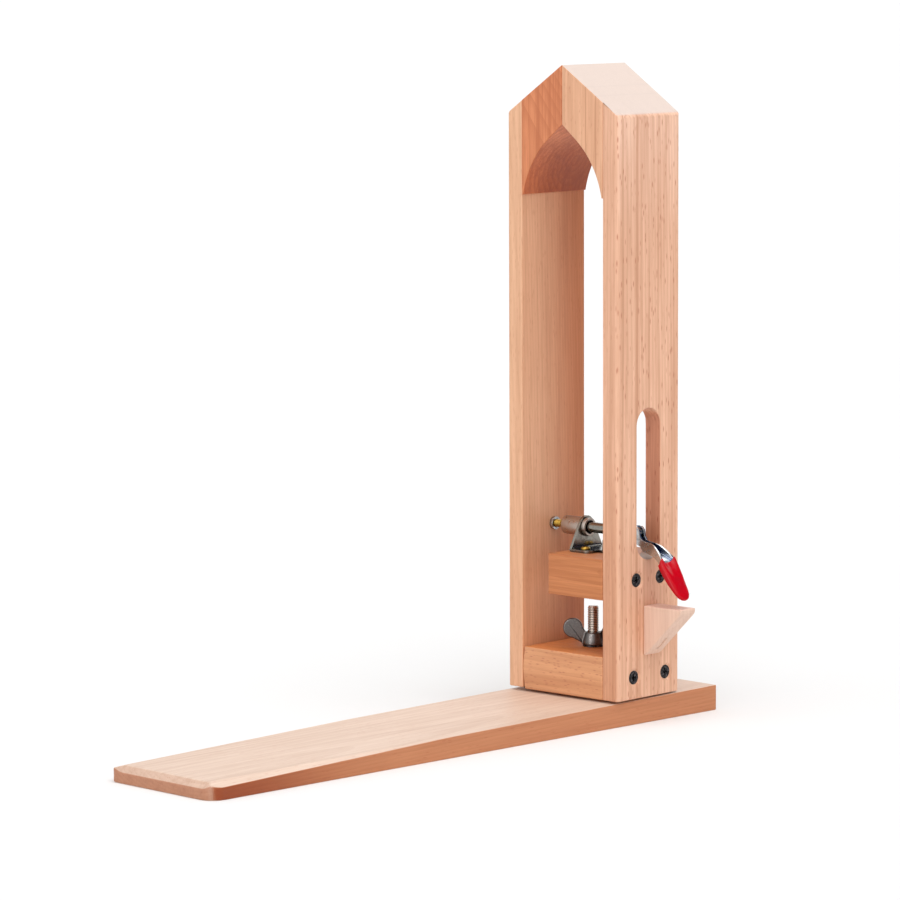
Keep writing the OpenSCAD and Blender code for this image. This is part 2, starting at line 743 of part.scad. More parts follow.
// Side outline of the lever, from its pivot
module lever_outline() {
    rivet = rivet_at(0) - [lever_y, axis_h];
    circle(lobe_r);
    translate(rivet) circle(rivet_lobe_r);
    rotate(arm_angle) translate([0, -arm_half_share * rivet_lobe_r])
        square([lever_arm, 2 * arm_half_share * rivet_lobe_r]);
    polygon(concat([[0, 0]], lever_l * lever_top_shares,
                   [for (i = [len(lever_low_shares) - 1 : -1 : 0]) lever_l * lever_low_shares[i]]));
}

// Plan outline of the lever, along its length and across it, drawn in by a wall
module lever_plan(wall) {
    narrow = flange_out - wall;
    wide = lever_wide_half - wall;
    tip = lever_tip_share * lever_wide_half - wall;
    half = [[-lever_l, narrow], [widen_u0, narrow], [widen_u1, wide], [taper_shares[0] * lever_l, wide],
            [taper_shares[1] * lever_l, tip], [2 * lever_l, tip]];
    polygon(concat(half, [for (i = [len(half) - 1 : -1 : 0]) [half[i][0], -half[i][1]]]));
}

// The lever's plan as a block that stands square to the lever's length
module lever_width(wall) {
    rotate([lever_angle, 0, 0]) rotate([0, 0, 90]) translate([0, 0, -lever_l])
        linear_extrude(2 * lever_l) lever_plan(wall);
}

// The space between the flanges, above the web
module channel_outline() {
    lift = [cos(lever_angle - 90), sin(lever_angle - 90)];
    low = [for (s = lever_low_shares) lever_l * s];
    polygon(concat([for (p = low) p + lever_t * lift],
                   [for (i = [len(low) - 1 : -1 : 0]) low[i] + lever_l * lift]));
}

module handle_lever() {
    color("lightsteelblue") on_head() translate([0, lever_y, axis_h]) difference() {
        intersection() {
            across(head_w) lever_outline();
            lever_width(0);
        }
        intersection() {
            across(head_w) channel_outline();
            lever_width(lever_t);
        }
        across(2 * flange_in) translate([lever_low_shares[1][0] * lever_l, -lever_l]) square(2 * lever_l);
        across(head_w) circle(pin_r + run_fit);
        across(head_w) translate(rivet_at(0) - [lever_y, axis_h]) circle(rivet_r);
    }
}

module handle_grip() {
    color("red") on_head() translate([0, lever_y, axis_h]) difference() {
        hull() for (i = [0 : len(grip_width_shares) - 1])
            for (spot = [grip_top_shares[i], grip_low_shares[i]])
                for (side = [-1, 1])
                    translate([side * (grip_width_shares[i] * lever_wide_half - grip_inset),
                               lever_l * spot[0], lever_l * spot[1]])
                        sphere(grip_edge_r, $fn = 32);
        intersection() {
            across(head_w) lever_outline();
            lever_width(0);
        }
    }
}

base_board();
swivel_bolt();
spacer_washer();
nut_washer();
wing_nut();
bottom_block();
cross_block();
fixed_jaw_board();
fixed_jaw_head();
stop_wedge();
jaw_screws_upper();
jaw_screws_lower();
rocker_screws();
moving_jaw_board();
moving_jaw_head();
insert_nut();
spindle();
clamp_bracket();
guide_barrel();
bracket_screws();
link_pin();
toggle_link_left();
toggle_link_right();
plunger();
plunger_pin();
handle_lever();
lever_rivets();
handle_grip();
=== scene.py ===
"""Looks of a leather stitching clamp: beech board and jaws, toggle clamp, wing nut."""

import json
import math

import bmesh
import bpy
import numpy as np
from bpy.props import FloatProperty, PointerProperty, StringProperty
from mathutils import Matrix, Vector

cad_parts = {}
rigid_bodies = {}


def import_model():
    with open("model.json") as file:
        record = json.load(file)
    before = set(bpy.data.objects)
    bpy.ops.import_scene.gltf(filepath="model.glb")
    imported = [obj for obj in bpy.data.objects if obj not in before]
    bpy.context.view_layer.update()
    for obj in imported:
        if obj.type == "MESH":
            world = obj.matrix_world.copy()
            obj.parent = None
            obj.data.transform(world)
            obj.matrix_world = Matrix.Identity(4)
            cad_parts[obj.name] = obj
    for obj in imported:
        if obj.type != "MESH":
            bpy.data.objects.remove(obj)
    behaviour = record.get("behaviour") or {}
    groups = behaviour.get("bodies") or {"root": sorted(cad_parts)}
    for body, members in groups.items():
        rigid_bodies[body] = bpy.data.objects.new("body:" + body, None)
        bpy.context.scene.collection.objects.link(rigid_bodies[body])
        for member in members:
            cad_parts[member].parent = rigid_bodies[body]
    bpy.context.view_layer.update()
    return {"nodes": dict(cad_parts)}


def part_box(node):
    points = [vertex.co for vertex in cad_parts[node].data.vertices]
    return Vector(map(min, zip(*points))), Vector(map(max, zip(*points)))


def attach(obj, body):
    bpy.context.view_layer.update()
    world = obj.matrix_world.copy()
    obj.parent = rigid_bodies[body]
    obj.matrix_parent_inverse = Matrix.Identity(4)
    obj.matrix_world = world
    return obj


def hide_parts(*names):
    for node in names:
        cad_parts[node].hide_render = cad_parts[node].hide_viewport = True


bl_info = {
    "name": "Stitching Clamp",
    "version": (1, 0, 0),
    "blender": (4, 5, 0),
    "location": "View3D > Sidebar > Clamp",
    "description": "Builds the wood, metal and vinyl pieces of a leather stitching clamp",
    "category": "Object",
}

MM = 0.001
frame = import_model()
RIDES = {name: obj.parent.name.split(":", 1)[1] for name, obj in frame["nodes"].items()}

# Where the head turns, and the way that it faces, as the source has them
SWIVEL = Vector((165 * MM, 0, 18.684375 * MM))
HEAD_TURN = math.radians(3)
AXIS_H = 115.7 * MM
# The lever's own frame: its pivot in the head's depth and height, and the way that it points
PIVOT = (-40.634, 115.7)
LEVER_ANGLE = math.radians(229.5)
# Places in the head, in millimetres: pairs of screws by their middle, half distance and height, the jaw
# boards' outer and inner faces, and the height of the glued joint on the slope
UPPER_SCREWS = (1.1, 13, 84)
LOWER_SCREWS = (2.3, 17, 15.3)
BRACKET_SCREWS = (0, 12, 99.4)
JAW_OUT, JAW_IN = 51.3, 37.5
SLOPE_JOINT = 418.3
# Ways that a face may look; the front is the board's thin end
TOP, FRONT, NEAR, FAR = (0, 0, 1), (-1, 0, 0), (0, -1, 0), (0, 1, 0)

# Colour of the dark dashes in the wood, and what the late wood of a growth ring keeps of the early wood's
# red, green and blue
FLECK = "#b56a4d"
LATE_WOOD = (0.66, 0.52, 0.44)
# How far a dark line wanders sideways, in millimetres
WANDER = 2.5
# Settings that many nodes share: a mix of colours, and a range taken to another with soft ends
COLOURS = {"data_type": "RGBA"}
SOFT = {"interpolation_type": "SMOOTHSTEP"}


# Sizes and colours


def size(name, description, default):
    """A size that the user may change."""
    return FloatProperty(name=name, description=description, default=default, unit="LENGTH")


def brightness(name, description, default):
    """A brightness that the user may change."""
    return FloatProperty(name=name, description=description, default=default, min=0.0)


def colour(name, description, default):
    """An sRGB colour that the user may change."""
    return StringProperty(name=name, description=description + ", sRGB", default=default)


class WoodSettings(bpy.types.PropertyGroup):
    """Sizes and colours of the beech pieces"""

    edge_ease: size("Eased edges", "Radius to which sharp edges are sanded", 0.8 * MM)
    board_colour: colour("Board", "Light tone of the board", "#dfc5b2")
    fixed_jaw_colour: colour("Fixed jaw", "Light tone of the fixed jaw's board", "#f1c0a1")
    moving_jaw_colour: colour("Moving jaw", "Light tone of the moving jaw's board", "#ebb994")
    fixed_head_colour: colour("Fixed head block", "Light tone of the fixed jaw's glued block", "#eab692")
    moving_head_colour: colour("Moving head block", "Light tone of the moving jaw's glued block", "#e29163")
    bottom_colour: colour("Bottom block", "Light tone of the bottom block", "#e1a67a")
    cross_colour: colour("Cross block", "Light tone of the cross block", "#cf8652")
    wedge_colour: colour("Wedge", "Light tone of the wedge", "#eac9b5")
    # The fixed slope's pale greyish tone is the sanded wood's own, and partly a painted sheen of the light
    # from above
    pale_slope_and_sheen_colour: colour("Fixed slope", "Tone of the fixed jaw's sanded roof slope", "#c8b7ad")
    slope_colour: colour("Moving slope", "Tone of the moving jaw's sanded roof slope", "#e4c6ae")


class MetalSettings(bpy.types.PropertyGroup):
    """Sizes and colours of the metal pieces"""

    edge_ease: size("Broken edges", "Radius of broken metal edges", 0.25 * MM)
    bolt_pitch: size("Bolt thread", "Pitch of the swivel bolt's thread", 1.25 * MM)
    spindle_pitch: size("Spindle thread", "Pitch of the spindle's thread", 1.0 * MM)
    zinc_colour: colour("Zinc", "Bright zinc plating", "#c3c5c6")
    sheet_colour: colour("Sheet", "Dull zinc plating of the bracket", "#8f8b83")
    nickel_colour: colour("Nickel", "Satin nickel plating", "#b5a9a0")
    bolt_colour: colour("Bolt", "Bright plating of the bolt", "#d2cbc3")
    yellow_colour: colour("Yellow zinc", "Yellow passivated zinc", "#a9873c")
    casting_colour: colour("Casting", "Dark malleable casting", "#625d5b")
    black_colour: colour("Black oxide", "Black oxide of the wood screws", "#1d1c1e")


class GripSettings(bpy.types.PropertyGroup):
    """Sizes and colours of the vinyl grip and the washer under the head"""

    lip: size("Lip", "Thickness of the vinyl at the grip's mouth", 1.2 * MM)
    vinyl_colour: colour("Vinyl", "Dipped vinyl of the grip", "#be0518")
    washer_colour: colour("Washer", "Black washer under the head", "#1b1a1a")


class StageSettings(bpy.types.PropertyGroup):
    """Floor and light"""

    floor_colour: colour("Floor", "Colour of the floor", "#eeeeee")
    flag_colour: colour("Flag", "Dark panel that only shiny pieces reflect", "#2a3f63")
    sky: brightness("Room light", "Even light from all round", 0.6)
    key: brightness("Key light", "Soft light from above", 1.5)
    fill: brightness("Fill light", "Soft light from the camera's left", 0.8)
    gleam: brightness("Gleam", "Brightness of the panels that polish reflects", 3.0)


# Shared helpers


def linear(colour):
    """The linear colour of an sRGB hex value, with full alpha."""
    shares = [int(colour[i : i + 2], 16) / 255 for i in (1, 3, 5)]
    return [s / 12.92 if s <= 0.04045 else ((s + 0.055) / 1.055) ** 2.4 for s in shares] + [1.0]


def add(tree, kind, inputs=None, **settings):
    """Adds a node with its settings; each input is another node's socket or a value."""
    made = tree.nodes.new(kind)
    for name, value in settings.items():
        setattr(made, name, value)
    for key, value in (inputs or {}).items():
        if isinstance(value, bpy.types.NodeSocket):
            tree.links.new(value, made.inputs[key])
        else:
            made.inputs[key].default_value = value
    return made


def new_material(name):
    """An empty node material with its shader and output joined."""
    made = bpy.data.materials.new(name)
    made.use_nodes = True
    tree = made.node_tree
    tree.nodes.clear()
    shader = add(tree, "ShaderNodeBsdfPrincipled")
    add(tree, "ShaderNodeOutputMaterial", {"Surface": shader.outputs[0]})
    return made, tree, shader


def finish_piece(name, mesh, node, material):
    """Links a new piece, gives it a material, and lets it ride where its CAD node rides."""
    piece = bpy.data.objects.new(name, mesh)
    bpy.context.scene.collection.objects.link(piece)
    mesh.materials.clear()
    mesh.materials.append(material)
    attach(piece, RIDES[node])
    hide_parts(node)
    return piece


def eased_copy(node, width, material, segments=2, spare=(), angle=30, crease=30, join=0.002 * MM,
               shaper=None):
    """A CAD node's own solid with its flat faces joined and its edges rounded by a small radius.
    Edges flatter than the angle, or within the reach of a spare spot, keep their shape; a shaper moves the
    points first. Shading breaks at creases; points closer than the join become one."""
    solid = bmesh.new()
    solid.from_mesh(frame["nodes"][node].data)
    bmesh.ops.remove_doubles(solid, verts=solid.verts, dist=join)
    bmesh.ops.dissolve_limit(solid, angle_limit=math.radians(0.5), verts=solid.verts, edges=solid.edges)
    weight = solid.edges.layers.float.new("bevel_weight_edge")
    for edge in solid.edges:
        if not edge.is_manifold or edge.calc_face_angle() < math.radians(angle):
            continue
        middle = (edge.verts[0].co + edge.verts[1].co) / 2
        if not any((middle - spot).length < reach for spot, reach in spare):
            edge[weight] = 1.0
    for face in solid.faces:
        face.smooth = True
    mesh = bpy.data.meshes.new(node + "_eased")
    solid.to_mesh(mesh)
    solid.free()
    if shaper:
        points = np.empty(3 * len(mesh.vertices))
        mesh.vertices.foreach_get("co", points)
        mesh.vertices.foreach_set("co", shaper(points.reshape(-1, 3)).ravel())
        mesh.update()
    mesh.set_sharp_from_angle(angle=math.radians(crease))
    piece = finish_piece(node + "_piece", mesh, node, material)
    bevel = piece.modifiers.new("Eased", "BEVEL")
    bevel.limit_method = "WEIGHT"
    bevel.width = width
    bevel.segments = segments
    bevel.use_clamp_overlap = False
    bevel.harden_normals = True
    even = piece.modifiers.new("Even shading", "WEIGHTED_NORMAL")
    even.keep_sharp = True
    return piece


def grid_mesh(name, points, around=True, close_ends=False):
    """A mesh from an array of points, rows along it and columns round it. The rows may close round, and
    each end may be capped by faces that meet in its middle."""
    rows, cols = points.shape[:2]
    verts = points.reshape(-1, 3)
    i, j = np.meshgrid(np.arange(rows - 1), np.arange(cols if around else cols - 1), indexing="ij")
    k = (j + 1) % cols
    this, after = i * cols, (i + 1) * cols
    faces = np.stack([this + j, this + k, after + k, after + j], -1).reshape(-1, 4).tolist()
    if close_ends:
        for row, flip in ((0, True), (rows - 1, False)):
            centre = len(verts)
            verts = np.vstack([verts, points[row].mean(0)])
            ring = row * cols + np.arange(cols)
            turned = np.roll(ring, -1)
            pair = (turned, ring) if flip else (ring, turned)
            faces += np.stack([*pair, np.full(cols, centre)], -1).tolist()
    mesh = bpy.data.meshes.new(name)
    mesh.from_pydata(verts.tolist(), [], faces)
    mesh.polygons.foreach_set("use_smooth", np.ones(len(mesh.polygons), bool))
    mesh.update()
    return mesh


def head_place(x, y, z):
    """Points of the head's own frame, in metres from its underside at the swivel, in the board's frame."""
    c, s = math.cos(HEAD_TURN), math.sin(HEAD_TURN)
    return np.stack([SWIVEL.x + x * c - y * s, SWIVEL.y + x * s + y * c, SWIVEL.z + z], -1)


def head_spot(x, y, z):
    """One point of the head's own frame, given in millimetres."""
    return Vector(head_place(np.array(x * MM), np.array(y * MM), np.array(z * MM)))


# Materials


def beech(name, light, grain="Z", pith=(90, 50), ring=2.6, wave=2.0, turned=HEAD_TURN, contrast=0.5,
          flecks=(0.5, 1.5, 8.0), streaks=(), tints=(), lean=0.02):
    """Planed, sanded and oiled beech. Growth rings are shells round a pith line outside the piece, so that
    they run as fine lines on the sides and as arcs on the ends; the short dark dashes are the cut rays.
    Real rays are near 0.5 mm by 3 mm, too fine to show, so they are drawn about three times as large.
    Pith, ring, flecks and streaks are in millimetres."""
    made, tree, shader = new_material(name)
    coords = add(tree, "ShaderNodeTexCoord").outputs
    inputs = {"Vector": coords["Object"], "Location": SWIVEL, "Rotation": (0, 0, turned)}
    local = add(tree, "ShaderNodeMapping", inputs, vector_type="TEXTURE").outputs[0]
    # The grain's own frame has its third axis along the grain
    turn = {"Z": (0, 0, 0), "X": (0, math.radians(-90), 0), "Y": (math.radians(90), 0, 0)}[grain]
    along = add(tree, "ShaderNodeMapping", {"Vector": local, "Rotation": turn}).outputs[0]
    inputs = {"Vector": along, "Location": (pith[0] * MM, pith[1] * MM, 0), "Rotation": (lean, 0.03, 0)}
    shell = add(tree, "ShaderNodeMapping", inputs).outputs[0]
    inputs = {"Vector": shell, "Scale": math.pi / 10 / (ring * MM), "Distortion": wave, "Detail": 2.0,
              "Detail Scale": 0.05, "Detail Roughness": 0.5}
    rings = add(tree, "ShaderNodeTexWave", inputs, wave_type="RINGS", rings_direction="Z",
                wave_profile="SAW").outputs["Fac"]

    def figure(kind, across, length, **inputs):
        """A texture in cells of a size in millimetres across and along the grain."""
        scale = (1 / (across * MM), 1 / (across * MM), 1 / (length * MM))
        place = add(tree, "ShaderNodeMapping", {"Vector": along, "Scale": scale}).outputs[0]
        return add(tree, kind, {"Vector": place, "Scale": 1.0, **inputs}).outputs

    # Rings, wide bands, fibres and clouds, each darker wood over what lies below
    rough = {"Detail": 3.0, "Roughness": 0.55}
    sizes = ((3.5, 150), (0.8, 26), (14, 110))
    bands, fibres, clouds = (figure("ShaderNodeTexNoise", *cell, **rough)["Fac"] for cell in sizes)
    dark = [c * share for c, share in zip(linear(light), (*LATE_WOOD, 1))]
    tone = linear(light)
    layers = ((rings, 0.25, 1.0, 0.5), (bands, 0.42, 0.7, 0.75), (fibres, 0.4, 0.7, 0.45),
              (clouds, 0.35, 0.7, 0.5))
    for value, low, high, most in layers:
        share = add(tree, "ShaderNodeMapRange", {0: value, 1: low, 2: high, 4: contrast * most}, **SOFT)
        tone = add(tree, "ShaderNodeMix", {0: share.outputs[0], 6: tone, 7: dark}, **COLOURS).outputs[2]
    # Dashes: long cells along the grain, with a soft mark in only some of them
    amount, width, length = flecks
    spots = figure("ShaderNodeTexVoronoi", width, length, Randomness=1.0)
    marks = add(tree, "ShaderNodeMapRange", {0: spots["Distance"], 1: 0.08, 2: 0.36, 3: 1.0, 4: 0.0}, **SOFT)
    pick = add(tree, "ShaderNodeSeparateColor", {0: spots["Color"]}).outputs[0]
    kept = add(tree, "ShaderNodeMapRange", {0: pick, 1: 0.25, 2: 0.85, 4: amount}, **SOFT)
    inputs = {0: marks.outputs[0], 1: kept.outputs[0]}
    marks = add(tree, "ShaderNodeMath", inputs, operation="MULTIPLY").outputs[0]
    tone = add(tree, "ShaderNodeMix", {0: marks, 6: tone, 7: linear(FLECK)}, **COLOURS).outputs[2]
    # Dark lines that run the whole length, at a given place across, with a half width and a strength
    split = add(tree, "ShaderNodeSeparateXYZ", {0: local}).outputs
    if streaks:
        wobble = figure("ShaderNodeTexNoise", 30, 60, **rough)["Fac"]
    for axis, at, half, strength in streaks:
        inputs = {0: wobble, 1: WANDER * MM, 2: split[axis]}
        shifted = add(tree, "ShaderNodeMath", inputs, operation="MULTIPLY_ADD").outputs[0]
        inputs = {0: shifted, 1: (at + WANDER / 2) * MM}
        off = add(tree, "ShaderNodeMath", inputs, operation="SUBTRACT").outputs[0]
        off = add(tree, "ShaderNodeMath", {0: off}, operation="ABSOLUTE").outputs[0]
        line = add(tree, "ShaderNodeMapRange", {0: off, 1: 0.0, 2: half * MM, 3: strength, 4: 0.0}, **SOFT)
        tone = add(tree, "ShaderNodeMix", {0: line.outputs[0], 6: tone, 7: dark}, **COLOURS).outputs[2]
    # Faces that look one way are tinted, some of them more towards one edge; the pieces say which tints are
    # painted light and shade
    for way, mode, tint, *run in tints:
        inputs = {0: coords["Normal"], 1: way}
        facing = add(tree, "ShaderNodeVectorMath", inputs, operation="DOT_PRODUCT").outputs["Value"]
        share = add(tree, "ShaderNodeMapRange", {0: facing, 1: 0.55, 2: 0.9}, **SOFT).outputs[0]
        if run:
            axis, low, high = run
            step = add(tree, "ShaderNodeMapRange", {0: split[axis], 1: low * MM, 2: high * MM}, **SOFT)
            inputs = {0: share, 1: step.outputs[0]}
            share = add(tree, "ShaderNodeMath", inputs, operation="MULTIPLY").outputs[0]
        inputs = {0: share, 6: tone, 7: linear(tint)}
        tone = add(tree, "ShaderNodeMix", inputs, blend_type=mode, **COLOURS).outputs[2]
    tree.links.new(tone, shader.inputs["Base Color"])
    satin = add(tree, "ShaderNodeMapRange", {0: fibres, 1: 0.3, 2: 0.7, 3: 0.42, 4: 0.56}, **SOFT)
    tree.links.new(satin.outputs[0], shader.inputs["Roughness"])
    shader.inputs["IOR"].default_value = 1.45
    bump = add(tree, "ShaderNodeBump", {"Height": fibres, "Strength": 0.25, "Distance": 0.06 * MM})
    tree.links.new(bump.outputs[0], shader.inputs["Normal"])
    return made


def mottled(name, first, second, spots, grit, detail, rough, relief=None, coarse=0.5):
    """A material whose tone, gloss and relief follow one cloudy pattern with its grit in millimetres. Spots
    says from where to where the pattern turns the first colour to the second, and how far; relief is the
    bump's strength and its height in millimetres."""
    made, tree, shader = new_material(name)
    place = add(tree, "ShaderNodeTexCoord").outputs["Object"]
    inputs = {"Vector": place, "Scale": 1 / (grit * MM), "Detail": detail, "Roughness": coarse}
    cloud = add(tree, "ShaderNodeTexNoise", inputs).outputs["Fac"]
    low, high, most = spots
    share = add(tree, "ShaderNodeMapRange", {0: cloud, 1: low, 2: high, 4: most}, **SOFT).outputs[0]
    tone = add(tree, "ShaderNodeMix", {0: share, 6: first, 7: second}, **COLOURS).outputs[2]
    tree.links.new(tone, shader.inputs["Base Color"])
    gloss = add(tree, "ShaderNodeMapRange", {0: cloud, 1: 0.3, 2: 0.7, 3: rough[0], 4: rough[1]}, **SOFT)
    tree.links.new(gloss.outputs[0], shader.inputs["Roughness"])
    if relief:
        inputs = {"Height": cloud, "Strength": relief[0], "Distance": relief[1] * MM}
        tree.links.new(add(tree, "ShaderNodeBump", inputs).outputs[0], shader.inputs["Normal"])
    return made, tree, shader


def plated_steel(name, colour, rough=0.3, recess_shade="#2b2a2c", depth=5.0, worn=0.5):
    """Plated sheet or turned steel: cloudy plating with brighter and duller spots, and painted shade where
    one piece meets the next or a channel is narrow."""
    shade = [0.6 * c for c in linear(colour)[:3]] + [1]
    made, tree, shader = mottled(name, linear(colour), shade, (0.45, 0.75, worn), 4, 2.0,
                                 (rough - 0.05, rough + 0.08), (0.05, 0.05))
    tone = shader.inputs["Base Color"].links[0].from_socket
    # Painted shade: the tone turns to the recess colour where ambient occlusion finds other surfaces within
    # the depth
    open_sky = add(tree, "ShaderNodeAmbientOcclusion", {"Distance": depth * MM}, samples=8).outputs["AO"]
    hidden = add(tree, "ShaderNodeMapRange", {0: open_sky, 1: 0.25, 2: 0.9, 3: 1.0, 4: 0.0}, **SOFT)
    inputs = {0: hidden.outputs[0], 6: tone, 7: linear(recess_shade)}
    tree.links.new(add(tree, "ShaderNodeMix", inputs, **COLOURS).outputs[2], shader.inputs["Base Color"])
    shader.inputs["Metallic"].default_value = 1.0
    return made


def sand_casting(name, colour):
    """Dark malleable iron cast in sand: a grainy skin with brighter worn specks. The sand's grit, near
    0.2 mm, is too fine to show and drawn at 0.5 mm."""
    made, _, shader = mottled(name, linear(colour), linear("#cfcac5"), (0.55, 0.75, 0.8), 0.5, 3.0,
                              (0.42, 0.26), (0.5, 0.1), 0.65)
    shader.inputs["Metallic"].default_value = 1.0
    return made


def black_oxide(name, colour):
    """Steel blackened and oiled: nearly black and smeared with oil, 1.5 mm wide, and still shiny on edges."""
    made, _, shader = mottled(name, linear(colour), linear("#6f6a6c"), (0.45, 0.7, 0.7), 1.5, 4.0,
                              (0.2, 0.36))
    shader.inputs["Metallic"].default_value = 0.8
    return made


def dipped_vinyl(name, colour):
    """Soft vinyl, dipped: a thick glossy skin with very shallow unevenness, some 7 mm wide, from the dip."""
    made, _, shader = mottled(name, linear(colour), linear("#a10618"), (0.35, 0.7, 0.35), 7, 2.0,
                              (0.1, 0.16), (0.3, 0.25))
    shader.inputs["IOR"].default_value = 1.27
    return made


def rubber(name, colour):
    """Moulded black rubber: dull, with a faint grain of 0.6 mm."""
    return mottled(name, linear(colour), linear("#39383a"), (0.4, 0.7, 0.4), 0.6, 3.0, (0.6, 0.75))[0]


def matt(name, colour, rough):
    """Paper or felt, quite flat: one plain tone without any shine."""
    made, _, shader = new_material(name)
    shader.inputs["Base Color"].default_value = linear(colour)
    shader.inputs["Roughness"].default_value = rough
    shader.inputs["Specular IOR Level"].default_value = 0.0
    return made


# Operators


def square_far_corner(points):
    """Turns the round of the board's far corner into a tighter one: the arc cos, sin becomes the outline
    |cos| ^ 7 + |sin| ^ 7 = 1."""
    low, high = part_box("base_board")
    radius, power = 11 * MM, 7
    off = points[:, :2] - np.array([low[0] + radius, high[1] - radius])
    length = np.maximum(np.linalg.norm(off, axis=1), 1e-9)[:, None]
    reach = (np.abs(off / length) ** power).sum(axis=1) ** (1 / power)
    corner = (off[:, 0] < 0) & (off[:, 1] > 0) & (length[:, 0] > 0.9 * radius)
    moved = points.copy()
    moved[:, :2] += off * np.where(corner, 1 / reach - 1, 0)[:, None]
    return moved


class CLAMP_OT_board(bpy.types.Operator):
    """Makes the beech board that the user sits on"""

    bl_idname = "clamp.board"
    bl_label = "Base board"

    def execute(self, context):
        wood = context.scene.stitching_clamp.wood
        # The sides and the thin end are darker, and the near side is darker still towards the thin end
        tints = [(NEAR, "MULTIPLY", "#e5ad85"), (FAR, "MULTIPLY", "#e5ad85"),
                 (FRONT, "MULTIPLY", "#d6ab93"), (NEAR, "MULTIPLY", "#c38d5c", 0, -230, -400)]
        grain = beech("Oiled beech board", wood.board_colour, "X", (120, 20), turned=0.0, contrast=0.35,
                      flecks=(0.3, 1.5, 8.0), tints=tints)
        eased_copy("base_board", wood.edge_ease, grain, 3, [(Vector((SWIVEL.x, 0, 9 * MM)), 20 * MM)],
                   shaper=square_far_corner)
        return {"FINISHED"}


def screw_spots(mid, half, h, depths):
    """Places round a pair of screw holes whose edges stay sharp."""
    return [(head_spot(mid + side * half, y, h), 9 * MM) for side in (-1, 1) for y in depths]


class CLAMP_OT_jaws(bpy.types.Operator):
    """Makes both jaw boards and the glued head blocks"""

    bl_idname = "clamp.jaws"
    bl_label = "Jaws"

    def execute(self, context):
        wood = context.scene.stitching_clamp.wood
        # The pale tone on the fixed jaw's and fixed head's slopes is the sanded wood's own, and partly a
        # painted sheen of the light from above
        slope = (TOP, "MIX", wood.pale_slope_and_sheen_colour)
        far_slope = (TOP, "MIX", wood.slope_colour)
        # Painted shade and light on the fixed jaw: the front-facing faces past its middle, a wall of the
        # slot, are darker; its front faces are darker below 200 mm; its outer face is lighter from 300 mm
        # upwards
        tints = [slope, (FRONT, "MULTIPLY", "#e8d1c9", 0, -5, 5), (FRONT, "MULTIPLY", "#f1e6dd", 2, 200, 80),
                 (NEAR, "DODGE", "#526c80", 2, 300, 400)]
        fixed = beech("Oiled beech fixed jaw", wood.fixed_jaw_colour, pith=(60, 120), contrast=0.7,
                      flecks=(0.85, 1.8, 9.0), streaks=((0, -12.6, 2.2, 0.9), (0, -28, 1.5, 0.5)),
                      tints=tints)
        # Painted shade on the moving jaw's face towards the fixed jaw: darker towards its far side, and
        # darker below 130 mm
        tints = [far_slope, (NEAR, "MULTIPLY", "#dbb59a", 0, -22, 30),
                 (NEAR, "MULTIPLY", "#fff2e5", 2, 130, 60)]
        moving = beech("Oiled beech moving jaw", wood.moving_jaw_colour, pith=(140, -100), contrast=0.4,
                       flecks=(0.3, 1.5, 8.0), tints=tints)
        # The glued joints on the slopes stay flush
        upper = screw_spots(*UPPER_SCREWS, (-JAW_OUT, -JAW_IN))
        insert = [(head_spot(0, JAW_IN, AXIS_H / MM), 9 * MM)]
        jaws = (("fixed_jaw_board", fixed, -1, upper), ("moving_jaw_board", moving, 1, insert))
        for node, grain, side, spots in jaws:
            spots = spots + screw_spots(*LOWER_SCREWS, (side * JAW_OUT, side * JAW_IN))
            spots += [(head_spot(0, side * JAW_IN, SLOPE_JOINT), 4 * MM)]
            eased_copy(node, wood.edge_ease, grain, 3, spots, angle=62, crease=20, join=0.12 * MM)
        fixed_head = beech("Oiled beech fixed head block", wood.fixed_head_colour, pith=(80, 60),
                           flecks=(0.5, 1.2, 6.0), streaks=((1, -22, 1.0, 0.8), (1, -31, 1.2, 0.8)),
                           tints=[slope])
        # Painted shade on the moving head block's faces towards the fixed jaw: darker all over, and darker
        # still from near its middle to its far side
        tints = [far_slope, (NEAR, "MULTIPLY", "#ecd0b0"), (NEAR, "MULTIPLY", "#d8c6a7", 0, -30, -5)]
        moving_head = beech("Oiled beech moving head block", wood.moving_head_colour, pith=(-22, 220),
                            ring=4.5, lean=0.7, wave=2.5, contrast=1.0, flecks=(0.2, 1.5, 8.0), tints=tints)
        for node, grain in (("fixed_jaw_head", fixed_head), ("moving_jaw_head", moving_head)):
            eased_copy(node, wood.edge_ease / 2, grain, 2, angle=62)
        return {"FINISHED"}


